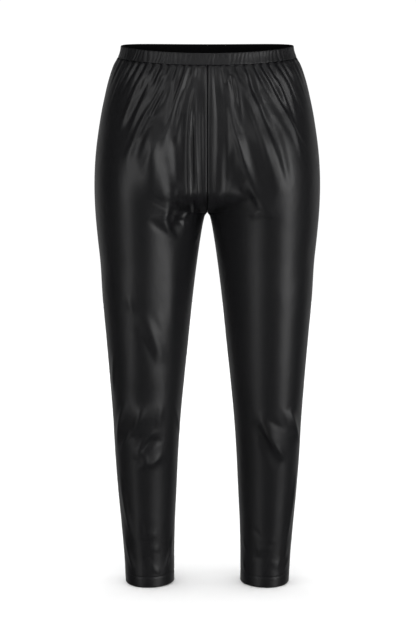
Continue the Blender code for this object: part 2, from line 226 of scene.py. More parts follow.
# The level sections of the filled garment, in millimetres. drop: depth below the waist.
# half_width: centre to the outer silhouette. join: how far the halves have grown together, from 0
# at the crotch to 1 for a plain oval. skew: rounds the inner thigh. front, back: depth of each face
# from the centre line of the leg, which lies at y = centre.
SECTION_COLUMNS = ("drop", "half_width", "join", "skew", "front", "back", "centre")
SECTIONS = (
    (-15, 141.0, 1.000, 1.00, 102, 102, 0),
    (0, 143.0, 1.000, 1.00, 103, 103, 0),
    (10, 146.5, 1.000, 1.00, 105, 105, 0),
    (25, 153.6, 0.985, 1.00, 108, 109, 0),
    (45, 160.9, 0.925, 1.00, 110, 114, 0),
    (85, 171.4, 0.770, 1.00, 112, 122, 0),
    (125, 178.6, 0.605, 1.02, 113, 129, 0),
    (165, 183.7, 0.440, 1.05, 113, 133, 0),
    (210, 186.2, 0.230, 1.10, 111, 131, 2),
    (262, 185.0, 0.000, 1.14, 106, 121, 4),
    (300, 181.7, 0.000, 1.12, 99, 108, 3),
    (340, 177.4, 0.000, 1.10, 92, 97, 1),
    (400, 173.6, 0.000, 1.06, 83, 85, -3),
    (470, 167.4, 0.000, 1.02, 74, 75, -5),
    (540, 161.5, 0.000, 0.98, 66, 67, -6),
    (600, 157.3, 0.000, 0.95, 61, 62, -3),
    (665, 154.5, 0.000, 0.93, 56, 60, 7),
    (720, 151.0, 0.000, 0.92, 53, 57, 14),
    (790, 145.2, 0.000, 0.91, 50, 52, 21),
    (840, 141.3, 0.000, 0.90, 47, 49, 25),
    (890, 138.8, 0.000, 0.90, 47, 48, 27),
)
# Below the crotch the legs part in a round arch: distance from the centre to the inner leg.
GAP_COLUMNS = ("drop", "gap")
GAPS = (
    (262, 0.0),
    (266, 3.4),
    (272, 5.3),
    (280, 7.1),
    (300, 10.6),
    (340, 16.5),
    (400, 24.0),
    (470, 31.2),
    (540, 38.6),
    (600, 44.4),
    (665, 48.9),
    (720, 51.6),
    (790, 55.0),
    (840, 56.1),
    (890, 56.1),
)

# Between the thighs the cloth runs under in the crotch curve, a quarter oval this high, and blends
# into the thighs over this distance. It fades out over this share of the way to the thigh's top.
CROTCH_CURVE = 36.0
CROTCH_BLEND = 26.0
CROTCH_FADE = 0.78

# Points of a section, and the least that a blend may be.
SAMPLES = 721
LEAST = 0.01

# Gathers under the waistband, one row a ridge: distance along the seam from the centre seam to the
# ridge, how far down it runs, and how far it stands out.
GATHER_COLUMNS = ("ridge_at", "reach", "height")
GATHERS = {
    "front_left": (
        (5, 120, 1.1), (16, 70, 1.0), (26, 55, 1.5), (39, 110, 1.7), (54, 130, 1.8),
        (71, 75, 1.7), (83, 90, 1.7), (96, 140, 2.0), (112, 70, 1.5), (126, 110, 1.8),
        (139, 60, 1.3), (153, 80, 1.3), (168, 50, 1.0), (183, 45, 0.9),
    ),
    "front_right": (
        (9, 110, 1.2), (20, 50, 1.7), (33, 140, 2.0), (44, 100, 1.4), (57, 60, 1.5),
        (70, 120, 1.8), (83, 60, 1.2), (98, 80, 1.7), (111, 50, 1.2), (124, 70, 1.4),
        (138, 90, 1.1), (152, 50, 1.0), (167, 60, 1.0), (182, 45, 0.8),
    ),
}

# The length of a panel's seam at the waistband, the share of its height with which a gather starts,
# how far down it is full, how sharp its ridge is, and over how many seam widths it rises beside a
# seam.
SEAM_QUARTER = 199.0
GATHER_START = 0.55
GATHER_FULL = 14.0
GATHER_SHARPNESS = 1.4
GATHER_CLEAR = 3.0

# The gathers of the back keep the front's uneven rhythm by rule: so many a panel, each moved,
# lengthened and raised by up to these amounts, in waves of so many radians a gather.
BACK_GATHERS = 14
BACK_MOVED = 2.6
BACK_MOVED_WAVE = 2.4
BACK_REACH = 80.0
BACK_LENGTHENED = 35.0
BACK_LENGTHENED_WAVE = 2.9
BACK_HEIGHT = 2.1
BACK_RAISED = 0.6
BACK_RAISED_WAVE = 1.7
BACK_RHYTHM = {"back_left": 0.9, "back_right": 2.6}

# How far the lines of the gathers fan out towards the hips, as a share of the panel's width.
FAN_COLUMNS = ("drop", "spread")
FAN = (
    (0, 0.00),
    (10, 0.00),
    (45, 0.05),
    (85, 0.10),
    (130, 0.12),
    (180, 0.09),
    (240, 0.02),
    (262, 0.00),
    (900, 0.00),
)

# Folds and creases, each a soft ridge, or a trough where its height is below 0. Its ends and middle
# are given by their distance from the centre line, seen from the front or back, and their drop.
FOLD_COLUMNS = ("x", "drop", "mid_x", "mid_drop", "end_x", "end_drop", "width", "height")
FOLDS = {
    "front_left": (
        (52, 30, 83, 108, 127, 239, 13, 3.5),
        (28, 44, 33, 170, 24, 285, 12, -3.0),
        (34, 84, 52, 164, 82, 252, 12, 3.0),
        (79, 55, 103, 100, 146, 165, 12, 2.5),
        (30, 206, 60, 230, 84, 254, 11, -2.4),
        (58, 212, 80, 238, 106, 270, 12, 3.0),
        (84, 584, 104, 626, 126, 664, 11, 3.5),
        (80, 606, 99, 650, 120, 682, 10, -3.0),
        (134, 580, 142, 606, 154, 650, 11, 3.0),
        (15, 46, 17, 140, 12, 270, 5.5, -1.9),
        (3, 18, 3, 126, 3, 280, 3.5, 1.6),
        (35, 60, 38, 150, 30, 240, 5, 1.2),
        (23, 16, 28, 31, 32, 42, 3, 1.9),
        (38, 16, 35, 31, 32, 42, 3, 1.9),
        (48, 18, 75, 108, 115, 235, 4.5, 2.8),
        (98, 100, 120, 164, 129, 222, 6, -2.6),
        (118, 95, 138, 132, 152, 172, 5, 2.2),
        (60, 24, 94, 110, 134, 225, 5, -2.2),
        (33, 52, 47, 140, 88, 256, 5, 2.9),
        (46, 60, 62, 140, 100, 250, 6, -1.6),
        (39, 26, 42, 54, 46, 84, 4, -2.3),
        (41, 18, 50, 76, 58, 130, 4, 2.2),
        (64, 26, 73, 53, 83, 80, 5, -2.3),
        (71, 22, 79, 51, 89, 78, 4, 1.9),
        (87, 14, 124, 96, 160, 165, 4, 2.5),
        (103, 38, 116, 68, 130, 98, 5, -2.3),
        (105, 14, 115, 46, 127, 80, 3.5, 1.9),
        (107, 14, 126, 43, 143, 104, 4, 1.9),
        (133, 18, 139, 31, 146, 44, 3.5, 1.9),
        (50, 224, 64, 232, 82, 252, 5, -2.2),
        (14, 226, 20, 240, 30, 258, 5, 2.0),
        (66, 220, 80, 239, 104, 270, 5, 1.6),
        (84, 256, 77, 264, 70, 268, 5, 1.0),
        (84, 604, 101, 644, 121, 674, 6, -1.6),
        (93, 611, 106, 637, 126, 670, 5, 1.6),
        (148, 690, 143, 745, 130, 822, 5, 1.6),
        (114, 640, 121, 656, 131, 672, 5, 1.2),
        (135, 584, 141, 605, 155, 650, 5, 1.8),
        (124, 576, 130, 597, 137, 618, 5, 1.0),
        (95, 596, 111, 605, 128, 616, 6, -1.2),
        (134, 820, 132, 828, 129, 838, 4, 1.0),
        (141, 838, 133, 850, 126, 862, 4, 1.2),
        (123, 838, 119, 848, 114, 858, 4, 1.0),
        (60, 809, 63, 820, 68, 832, 4, 1.0),
        (82, 812, 87, 824, 92, 835, 4, 1.0),
        (60, 848, 62, 857, 65, 867, 4, 1.0),
        (96, 800, 104, 806, 114, 800, 4, 0.9),
        (74, 788, 84, 794, 92, 806, 4, -0.9),
        (88, 826, 98, 818, 110, 822, 4, 0.9),
        (74, 842, 84, 836, 94, 842, 3.5, -0.9),
        (104, 840, 112, 846, 120, 842, 3.5, 0.8),
    ),
    "front_right": (
        (84, 100, 88, 165, 90, 240, 18, 5.5),
        (34, 96, 38, 165, 34, 245, 15, -5.5),
        (90, 90, 115, 140, 134, 190, 12, 1.2),
        (74, 110, 86, 180, 82, 285, 13, 3.4),
        (56, 120, 52, 170, 46, 235, 6, -1.6),
        (46, 232, 67, 264, 50, 300, 12, 4.0),
        (36, 268, 44, 274, 58, 296, 11, -3.5),
        (108, 418, 88, 460, 73, 505, 10, 3.0),
        (104, 570, 113, 600, 125, 630, 12, 3.0),
        (110, 672, 93, 672, 68, 652, 10, 2.4),
        (106, 652, 105, 667, 97, 682, 7, 2.5),
        (112, 656, 95, 638, 70, 632, 9, -2.2),
        (31, 18, 52, 76, 73, 170, 4.5, 2.8),
        (32, 26, 46, 81, 53, 138, 4.5, -2.3),
        (33, 46, 43, 99, 49, 155, 4, 1.9),
        (18, 40, 28, 130, 26, 285, 3, 3.0),
        (14, 20, 20, 126, 10, 285, 3, 2.3),
        (20, 80, 24.5, 170, 20, 280, 3.5, -3.2),
        (7, 40, 9, 140, 5, 270, 3.5, -1.8),
        (26, 222, 30, 240, 38, 262, 5, 1.1),
        (44, 212, 46, 234, 52, 256, 6, 2.5),
        (70, 180, 70, 222, 64, 262, 9, 2.5),
        (67, 14, 69, 25, 72, 35, 3, 1.9),
        (92, 14, 98, 31, 105, 50, 4, 1.9),
        (79, 20, 85, 43, 92, 66, 4, -1.9),
        (75, 16, 102, 76, 129, 147, 4, 2.0),
        (50, 22, 77, 79, 115, 159, 4, 2.0),
        (66, 40, 88, 84, 106, 120, 3.5, 1.6),
        (84, 20, 111, 76, 133, 130, 4, -1.6),
        (58, 24, 85, 82, 119, 165, 4, -1.6),
        (65, 34, 97, 100, 127, 170, 4.5, 2.3),
        (62, 48, 78, 83, 87, 100, 4, 1.9),
        (51, 17, 59, 54, 69, 94, 4.5, -2.2),
        (110, 44, 127, 91, 141, 128, 4.5, 1.9),
        (105, 132, 119, 158, 132, 181, 5, 1.9),
        (87, 122, 98, 155, 109, 184, 5, 1.6),
        (78, 140, 90, 170, 106, 198, 5, 1.6),
        (59, 232, 66, 260, 69, 272, 5, 1.6),
        (70, 266, 64, 286, 49, 302, 5, 1.6),
        (47, 246, 59, 270, 41, 298, 6, -2.0),
        (45, 234, 44, 249, 54, 267, 4, 1.2),
        (23, 230, 31, 259, 46, 270, 4, 1.4),
        (51, 270, 41, 275, 30, 276, 5, -1.8),
        (94, 269, 79, 282, 50, 306, 6, -1.5),
        (14, 301, 19, 305, 26, 309, 4, 1.0),
        (58, 300, 58, 400, 64, 510, 18, 2.8),
        (150, 606, 105, 616, 60, 604, 24, -3.0),
        (140, 548, 105, 556, 70, 550, 22, -2.4),
        (128, 394, 124, 408, 119, 423, 5, 1.2),
        (116, 440, 98, 474, 84, 508, 6, -1.2),
        (84, 412, 75, 439, 66, 466, 8, 1.0),
        (153, 490, 155, 526, 154, 563, 5, 1.2),
        (131, 568, 144, 602, 150, 650, 6, 2.4),
        (126, 617, 134, 634, 144, 653, 5, 1.9),
        (105, 575, 113, 600, 124, 628, 5, 2.1),
        (74, 571, 77, 594, 82, 619, 6, 1.0),
        (98, 629, 109, 648, 120, 667, 5, 1.9),
        (116, 655, 98, 628, 76, 621, 5, 1.3),
        (112, 663, 95, 642, 72, 636, 5, -1.8),
        (100, 670, 90, 672, 74, 656, 5, 1.2),
        (56, 568, 47, 620, 50, 642, 5, 1.2),
        (140, 803, 130, 838, 122, 858, 5, 1.6),
        (146, 690, 136, 758, 121, 812, 6, 1.8),
        (58, 800, 64, 834, 73, 862, 4, 1.5),
        (78, 863, 86, 857, 94, 851, 4, 1.2),
        (60, 822, 61, 836, 61, 849, 4, 1.0),
        (82, 792, 92, 797, 104, 790, 4, 0.9),
        (96, 812, 104, 806, 114, 810, 4, -0.9),
        (78, 826, 88, 820, 100, 826, 4, 0.9),
        (90, 842, 98, 834, 108, 838, 3.5, -0.9),
        (112, 770, 108, 786, 110, 800, 4, -0.8),
    ),
    "back_left": (
        (60, 50, 92, 120, 122, 205, 14, 3.0),
        (26, 262, 74, 288, 132, 300, 13, 3.5),
        (36, 292, 82, 318, 126, 324, 12, -3.0),
        (136, 588, 100, 604, 62, 596, 12, 4.0),
        (132, 614, 96, 630, 60, 622, 11, -3.5),
        (122, 690, 102, 730, 90, 790, 12, 2.5),
        (8, 18, 12, 90, 9, 168, 4, 2.0),
        (24, 16, 33, 70, 40, 132, 4, 2.2),
        (43, 20, 47, 52, 56, 90, 4, -2.2),
        (66, 18, 84, 74, 104, 140, 4.5, 2.3),
        (92, 16, 104, 52, 118, 96, 4, 1.9),
        (116, 22, 128, 60, 144, 112, 4.5, 2.0),
        (80, 40, 96, 78, 108, 120, 5, -2.2),
        (132, 180, 116, 212, 108, 246, 6, 1.2),
        (18, 226, 34, 246, 62, 258, 5, 1.8),
        (30, 244, 56, 268, 96, 276, 5, -1.8),
        (24, 276, 58, 296, 112, 306, 5, 1.5),
        (14, 300, 28, 316, 52, 328, 4.5, 1.2),
        (96, 340, 84, 372, 78, 410, 6, 1.0),
        (62, 560, 84, 572, 118, 566, 6, 1.6),
        (70, 582, 96, 590, 134, 578, 5, -1.5),
        (60, 598, 88, 612, 128, 606, 5, 1.8),
        (64, 626, 92, 640, 130, 632, 6, 1.2),
        (142, 640, 128, 668, 120, 704, 5, 1.2),
        (72, 716, 82, 752, 78, 790, 6, 1.0),
        (66, 836, 74, 850, 88, 858, 4, 1.2),
        (136, 822, 126, 844, 112, 856, 4, 1.2),
    ),
    "back_right": (
        (48, 60, 78, 130, 100, 215, 14, 3.0),
        (30, 256, 82, 276, 140, 284, 13, 3.5),
        (34, 288, 78, 308, 120, 312, 12, -3.0),
        (64, 580, 100, 598, 138, 586, 12, 4.0),
        (60, 606, 94, 624, 134, 616, 11, -3.5),
        (80, 700, 96, 745, 118, 800, 12, 2.5),
        (12, 18, 14, 80, 8, 140, 4, 1.9),
        (30, 16, 40, 62, 58, 118, 4, 2.3),
        (54, 18, 66, 56, 74, 98, 4, -2.2),
        (76, 16, 98, 88, 124, 158, 4.5, 2.3),
        (104, 18, 118, 58, 134, 92, 4, 1.9),
        (132, 24, 142, 62, 152, 104, 4.5, 1.9),
        (60, 84, 76, 122, 86, 166, 5, -2.0),
        (126, 196, 112, 222, 100, 250, 6, 1.2),
        (16, 232, 38, 254, 70, 262, 5, 1.7),
        (26, 252, 60, 272, 104, 274, 5, -1.6),
        (30, 270, 66, 290, 122, 294, 5, 1.6),
        (12, 296, 30, 314, 60, 322, 4.5, 1.3),
        (74, 352, 84, 388, 82, 430, 6, 1.0),
        (60, 556, 92, 566, 126, 558, 6, 1.5),
        (66, 576, 98, 584, 136, 574, 5, -1.5),
        (58, 592, 94, 606, 132, 600, 5, 1.7),
        (70, 618, 100, 632, 138, 624, 6, 1.2),
        (60, 650, 76, 680, 80, 712, 5, 1.1),
        (132, 730, 120, 764, 122, 796, 6, 1.0),
        (62, 842, 72, 854, 90, 862, 4, 1.2),
        (134, 830, 124, 848, 108, 860, 4, 1.1),
    ),
}

# Pieces of a fold's line, how many of its widths are worked out on each side of it, and how near a
# seam the folds die out.
FOLD_PIECES = 12
FOLD_REACH = 3
SEAM_FLAT = 12.0

# The seams: how deep and wide the cloth rolls in along each edge, and the stitched line of the hem.
SEAM_DEPTH = 1.2
CENTRE_SEAM_DEPTH = 2.0
CENTRE_SEAM_FADE = 20.0
SEAM_WIDTH = 1.1
STITCH_LINE = LEG_BOTTOM - 17.0
STITCH_DEPTH = 0.5
STITCH_WIDTH = 1.3

# Rows of points down a panel, and the points across it.
ACROSS = 136
EDGE_CROWD = 0.45
ROW_COLUMNS = ("drop", "rows", "crowd")
ROWS = (
    (PANEL_TOP, 2, "even"),
    (11.5, 64, "even"),
    (150.0, 44, "end"),
    (CROTCH, 34, "start"),
    (340.0, 54, "even"),
    (560.0, 50, "even"),
    (700.0, 42, "even"),
    (862.0, 22, "even"),
)

# The coating: a fine pebbled grain, slack that ripples it faintly, and duller and glossier
# blotches, whose mean is taken off again. Scales are in cells a metre, depths in metres.
CLOTH_BLACK = (0.0075, 0.0075, 0.0086)
BACKING_BLACK = (0.004, 0.004, 0.0045)
CLOTH_DULLNESS = 0.40
GRAIN_SCALE = 1100.0
GRAIN_DEPTH = 0.0002
GRAIN_STRENGTH = 0.25
GRAIN_DULLS = 0.03
SLACK_SCALE = 34.0
SLACK_DEPTH = 0.002
SLACK_STRENGTH = 0.35
BLOTCH_SCALE = 9.0
BLOTCH_DULLS = 0.08
DULLS_MEAN = 0.05


def eased(at, table, columns, name):
    """A table's named column at these drops, on a smooth curve through its rows."""
    places = np.array([row[0] for row in table], float)
    values = np.array([row[columns.index(name)] for row in table], float)
    slopes = np.gradient(values, places)
    at = np.clip(np.asarray(at, float), places[0], places[-1])
    row = np.clip(np.searchsorted(places, at) - 1, 0, len(places) - 2)
    span = places[row + 1] - places[row]
    t = (at - places[row]) / span
    return (
        values[row] * (1 + 2 * t) * (1 - t) ** 2
        + values[row + 1] * t ** 2 * (3 - 2 * t)
        + slopes[row] * span * t * (1 - t) ** 2
        - slopes[row + 1] * span * t ** 2 * (1 - t)
    )


def smooth_step(t):
    t = np.clip(t, 0.0, 1.0)
    return t * t * (3 - 2 * t)


def web_between(x, y, turn, size, rise):
    """How far the cloth between the thighs stands out of the valley, this high above the crotch."""
    share = np.sqrt(1 - (1 - min(rise / CROTCH_CURVE, 1.0)) ** 2)
    soft = max(4 * CROTCH_BLEND * share * (1 - share), LEAST)
    depth = np.where(turn < 0, size["front"], size["back"])
    web = depth * share
    peak = x[np.argmax(np.abs(y))]
    within = smooth_step((peak - x) / (peak * CROTCH_FADE))
    height = np.abs(y)
    near = np.maximum(1 - np.abs(height - web) / soft, 0.0)
    bridged = np.maximum(height, web) + soft * near ** 2 / 4
    return np.sign(turn) * within * (np.minimum(bridged, depth) - height)


def girth(drop):
    """The level section of the wearer's left half at one drop, as points from the centre front or
    inseam round the side to the centre back or inseam, and the distance of each along it.

    The two halves together are a Cassini oval: one waisted loop above the crotch, two below it.
    """
    names = SECTION_COLUMNS[1:]
    size = {name: float(eased(drop, SECTIONS, SECTION_COLUMNS, name)) for name in names}
    half = size["half_width"]
    if drop <= CROTCH:
        inner = -((max(size["join"], 0.0) * half) ** 2)
    else:
        gap = float(eased(drop, GAPS, GAP_COLUMNS, "gap"))
        inner = (half * (gap / half) ** (1 / size["skew"])) ** 2
    spread = (half ** 2 + inner) / 2
    radius = (half ** 2 - inner) / 2
    turn = np.pi * np.sin(np.linspace(-np.pi / 2, np.pi / 2, SAMPLES))
    oval = np.sqrt(spread + radius * np.exp(1j * turn))
    tallest = radius / (2 * np.sqrt(spread)) if radius <= 2 * spread else np.sqrt(radius - spread)
    depth = np.where(turn < 0, size["front"], size["back"]) / tallest
    x = half * (np.maximum(oval.real, 0.0) / half) ** size["skew"] + SEAM_GAP / 2
    y = oval.imag * depth
    along = np.concatenate([[0.0], np.cumsum(np.hypot(np.diff(x), np.diff(y)))])
    if drop < CROTCH:
        y = y + web_between(x, y, turn, size, CROTCH - drop)
    near_waist = 1 - smooth_step(drop / WAIST_TILT_END)
    hem_tilt = HEM_TILT * smooth_step((drop - HEM_TILT_START) / (LEG_BOTTOM - HEM_TILT_START))
    bow = WAIST_BOW * near_waist * ((x / half) ** 2 - 0.5)
    z = (WAIST_TILT * near_waist + hem_tilt) * y + bow - drop
    return np.stack([x, y + size["centre"], z], axis=1), along


def panel_curve(drop, face):
    """Half of a section, from the centre seam or inseam to the side seam, with its distances."""
    ring, along = girth(drop)
    middle = SAMPLES // 2
    if face == "front":
        return ring[: middle + 1], along[: middle + 1]
    return ring[: middle - 1 : -1], along[-1] - along[: middle - 1 : -1]


def gather_rows(name):
    """The gathers of a panel: those of the front from their table, those of the back by rule."""
    if name in GATHERS:
        return [dict(zip(GATHER_COLUMNS, row)) for row in GATHERS[name]]
    rhythm = BACK_RHYTHM[name]
    spacing = SEAM_QUARTER / BACK_GATHERS
    rows = []
    for number in range(BACK_GATHERS):
        moved = BACK_MOVED * np.sin(BACK_MOVED_WAVE * number + rhythm)
        lengthened = BACK_LENGTHENED * np.sin(BACK_LENGTHENED_WAVE * number + rhythm)
        raised = BACK_RAISED * np.sin(BACK_RAISED_WAVE * number + rhythm)
        values = (spacing * (number + 0.5) + moved, BACK_REACH + lengthened, BACK_HEIGHT + raised)
        rows.append(dict(zip(GATHER_COLUMNS, values)))
    return rows


def gathers(name, drops, flat):
    """Height of the gathers over a panel's grid, whose columns lie at these unfanned shares."""
    rows = gather_rows(name)
    ridges = [row["ridge_at"] / SEAM_QUARTER for row in rows]
    marks = [0.0] + [(a + b) / 2 for a, b in zip(ridges, ridges[1:])] + [1.0]
    height = np.zeros((len(drops), len(flat)))
    start = GATHER_START + (1 - GATHER_START) * smooth_step((drops - PANEL_TOP) / GATHER_FULL)
    for row, low, high in zip(rows, marks, marks[1:]):
        across = np.clip((flat - low) / (high - low), 0, 1)
        wave = 2 * np.sin(np.pi * across) ** GATHER_SHARPNESS - 1
        wave = np.where((flat >= low) & (flat < high), wave, 0.0)
        fade = 1 - smooth_step((drops - PANEL_TOP) / row["reach"])
        height += np.outer(row["height"] * start * fade, wave)
    return height


def folds(name, along, drops):
    """Height of a panel's folds over its grid, whose points lie at these distances across it."""
    face = name.split("_")[0]
    t = np.linspace(0, 1, FOLD_PIECES + 1)[:, None]
    height = np.zeros(along.shape)
    here = np.stack([along, np.broadcast_to(drops[:, None], along.shape)], axis=-1)
    for row in FOLDS[name]:
        fold = dict(zip(FOLD_COLUMNS, row))
        start = np.array((fold["x"], fold["drop"]), float)
        middle = np.array((fold["mid_x"], fold["mid_drop"]), float)
        end = np.array((fold["end_x"], fold["end_drop"]), float)
        pull = 2 * middle - (start + end) / 2
        line = start * (1 - t) ** 2 + 2 * pull * t * (1 - t) + end * t ** 2
        for point in line:
            half, distances = panel_curve(point[1], face)
            point[0] = np.interp(point[0], half[:, 0], distances)
        near = FOLD_REACH * fold["width"]
        rows = (drops > line[:, 1].min() - near) & (drops < line[:, 1].max() + near)
        spot = here[rows]
        nearest = np.full(spot.shape[:2], np.inf)
        place = np.zeros(spot.shape[:2])
        for number, (a, b) in enumerate(zip(line, line[1:])):
            part = np.clip((spot - a) @ (b - a) / ((b - a) @ (b - a)), 0, 1)
            apart = np.linalg.norm(spot - a - part[..., None] * (b - a), axis=-1)
            closer = apart < nearest
            nearest = np.where(closer, apart, nearest)
            place = np.where(closer, (number + part) / FOLD_PIECES, place)
        fade = np.sin(np.pi * np.clip(place, 0.0, 1.0))
        height[rows] += fold["height"] * fade * np.exp(-((nearest / fold["width"]) ** 2))
    return height


def row_drops():
    """Every row of a panel from its top to its hem."""
    stretches = [dict(zip(ROW_COLUMNS, row)) for row in ROWS]
    ends = [stretch["drop"] for stretch in stretches[1:]] + [LEG_BOTTOM]
    drops = []
    for stretch, end in zip(stretches, ends):
        t = np.arange(stretch["rows"]) / stretch["rows"]
        if stretch["crowd"] == "end":
            t = 1 - (1 - t) ** 2
        elif stretch["crowd"] == "start":
            t = t ** 2
        drops.append(stretch["drop"] + (end - stretch["drop"]) * t)
    return np.concatenate(drops + [[LEG_BOTTOM]])


def panel_grid(name):
    """A panel's outer face as rows of points, its outward normals, and the drop of each row."""
    face = name.split("_")[0]
    drops = row_drops()
    even = np.linspace(0, 1, ACROSS + 1)
    flat = even - EDGE_CROWD * np.sin(2 * np.pi * even) / (2 * np.pi)
    points = np.zeros((len(drops), len(flat), 3))
    along = np.zeros((len(drops), len(flat)))
    length = np.zeros((len(drops), 1))
    for number, drop in enumerate(drops):
        half, distances = panel_curve(drop, face)
        spread = float(eased(drop, FAN, FAN_COLUMNS, "spread"))
        share = flat + spread * np.sin(np.pi * flat)
        first = SEAM_GAP / 2 if drop >= CROTCH else 0.0
        length[number] = distances[-1]
        along[number] = first + share * (distances[-1] - first - SEAM_GAP / 2)
        for axis in range(3):
            points[number, :, axis] = np.interp(along[number], distances, half[:, axis])
    normal = np.cross(np.gradient(points, axis=1), np.gradient(points, axis=0))
    if face == "front":
        normal = -normal
    normal[(0, -1), :, 2] = 0.0
    normal[drops <= CROTCH, 0, 0] = 0.0
    normal[drops > CROTCH, 0, 1] = 0.0
    normal[:, -1, 1] = 0.0
    normal[drops == CROTCH, 0] = (0.0, 0.0, -1.0)
    normal /= np.linalg.norm(normal, axis=-1)[..., None]
    from_seam = np.minimum(along, length - along)
    height = gathers(name, drops, flat) * smooth_step(from_seam / SEAM_WIDTH / GATHER_CLEAR)
    height += folds(name, along, drops) * smooth_step(from_seam / SEAM_FLAT)
    at_centre = (along < length / 2) * smooth_step((CROTCH - drops) / CENTRE_SEAM_FADE)[:, None]
    depth = SEAM_DEPTH + (CENTRE_SEAM_DEPTH - SEAM_DEPTH) * at_centre
    height -= depth * np.exp(-((from_seam / SEAM_WIDTH) ** 2))
    height -= SEAM_DEPTH * np.exp(-(((drops - PANEL_TOP) / SEAM_WIDTH) ** 2))[:, None]
    height -= STITCH_DEPTH * np.exp(-(((drops - STITCH_LINE) / STITCH_WIDTH) ** 2))[:, None]
    return points + normal * height[..., None], normal, drops


def new_piece(name, points, faces, materials, inside=None):
    """A smooth piece of the garment, from points in metres. The faces marked as inside, if any,
    take the second material.
    """
    data = bpy.data.meshes.new(name)
    data.from_pydata(points, [], faces)
    for material in materials:
        data.materials.append(material)
    if inside is not None:
        data.polygons.foreach_set("material_index", inside.astype(int))
    data.shade_smooth()
    data.update()
    piece = bpy.data.objects.new(name, data)
    garment.objects.link(piece)
    return piece


def sew_panel(name, grid, materials):
    """One panel: its outer and inner face, joined along its four edges into a closed thin shell."""
    mirror = -1 if name.endswith("right") else 1
    outer, normal, drops = grid
    turned_up = smooth_step((drops - LEG_BOTTOM + HEM_TURN) / HEM_STEP + 0.5)
    wall = CLOTH_WALL + (HEM_WALL - CLOTH_WALL) * turned_up
    inner = outer - normal * wall[:, None, None]
    inner[..., 0] = np.maximum(inner[..., 0], SEAM_GAP / 2)
    rows, columns = outer.shape[:2]
    points = np.concatenate([outer.reshape(-1, 3), inner.reshape(-1, 3)]) * (mirror * MM, MM, MM)
    number = np.arange(rows * columns).reshape(rows, columns)
    behind = number + rows * columns
    squares = [
        np.stack([number[:-1, :-1], number[1:, :-1], number[1:, 1:], number[:-1, 1:]], -1),
        np.stack([behind[:-1, :-1], behind[:-1, 1:], behind[1:, 1:], behind[1:, :-1]], -1),
    ]
    for edge, back in (
        (number[0], behind[0]),
        (number[-1, ::-1], behind[-1, ::-1]),
        (number[::-1, 0], behind[::-1, 0]),
        (number[:, -1], behind[:, -1]),
    ):
        squares.append(np.stack([edge[:-1], edge[1:], back[1:], back[:-1]], -1))
    faces = np.concatenate([part.reshape(-1, 4) for part in squares])
    if name in ("front_right", "back_left"):
        faces = faces[:, ::-1]
    outer_count = (rows - 1) * (columns - 1)
    inside = np.zeros(len(faces), bool)
    inside[outer_count : 2 * outer_count] = True
    return new_piece(name + "_cloth", points.tolist(), faces.tolist(), materials, inside)


def coated_cloth(name, colour, roughness):
    """Leather-look coating: near-black, satin, with a fine pebbled grain and faint slack in it."""
    material, shader, start = new_material(name, colour, roughness)
    place = start.add("ShaderNodeTexCoord", output="Object")
    grain = start.add(
        "ShaderNodeTexVoronoi", {"feature": "SMOOTH_F1"}, {"Vector": place, "Scale": GRAIN_SCALE}
    )
    slack = start.add(
        "ShaderNodeTexNoise", {}, {"Vector": place, "Scale": SLACK_SCALE, "Detail": 3.0}
    )
    blotch = start.add(
        "ShaderNodeTexNoise", {}, {"Vector": place, "Scale": BLOTCH_SCALE, "Detail": 2.0}
    )
    dull = roughness - DULLS_MEAN + blotch * BLOTCH_DULLS + grain * GRAIN_DULLS
    material.node_tree.links.new(dull.socket, shader.inputs["Roughness"])
    bump = {"Height": grain, "Strength": GRAIN_STRENGTH, "Distance": GRAIN_DEPTH}
    relief = start.add("ShaderNodeBump", {}, bump)
    bump = {"Height": slack, "Strength": SLACK_STRENGTH, "Distance": SLACK_DEPTH, "Normal": relief}
    relief = start.add("ShaderNodeBump", {}, bump)
    material.node_tree.links.new(relief.socket, shader.inputs["Normal"])
    return material


cloth_face = coated_cloth("coated_face", CLOTH_BLACK, CLOTH_DULLNESS)
cloth_back, cloth_back_shader, _ = new_material("knit_backing", BACKING_BLACK, roughness=0.9)
cloth_back_shader.inputs["Specular IOR Level"].default_value = 0.1

panel_grids = {name: panel_grid(name) for name in PANELS}
for name in PANELS:
    panel = sew_panel(name, panel_grids[name], (cloth_face, cloth_back))
    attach(panel, "root")
    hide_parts(name)


# ---------------------------------------------------------------------------------------------
# Waistband: the cloth is folded over a 19 mm elastic and sewn shut, and the elastic draws it
# into fine uneven ribs. It is one ring on the line of its solid.
# ---------------------------------------------------------------------------------------------
BAND_WALL = 3.0
BAND_DULLNESS = 0.44
BAND_EDGE = 1.1
BAND_EDGE_POINTS = 4
BAND_FACE_POINTS = 9
BAND_BACK_POINTS = 4

# The ribs: their number and relief, and how much of it each stretch of the casing's section takes.
# On the inside they are reversed.
BAND_RIBS = 108
POINTS_A_RIB = 9
RIB_RELIEF = 0.75
RIB_SHARPNESS = 1.3
RIB_MIDDLE = 0.4
RIBBED = {
    "outside": 1.0,
    "upper_edge": 0.8,
    "upper_corner": 0.5,
    "inside": -0.3,
    "lower_corner": -0.2,
    "lower_edge": 0.6,
}

# What makes them uneven: how far they sway and shift, in ribs, and how much their size varies, each
# in waves of so many radians a rib. The sway changes down the band, and all lean a little.
RIB_SWAY = 0.28
RIB_SWAY_WAVE = 0.9
RIB_SWAY_A_MM = 0.13
RIB_LEAN_A_MM = 0.02
RIB_SHIFT = 0.24
RIB_SHIFT_WAVE = 0.57
RIB_SIZE = 0.62
RIB_SIZE_QUICK = 0.24
RIB_SIZE_QUICK_WAVE = 1.9
RIB_SIZE_SLOW = 0.14
RIB_SIZE_SLOW_WAVE = 0.7


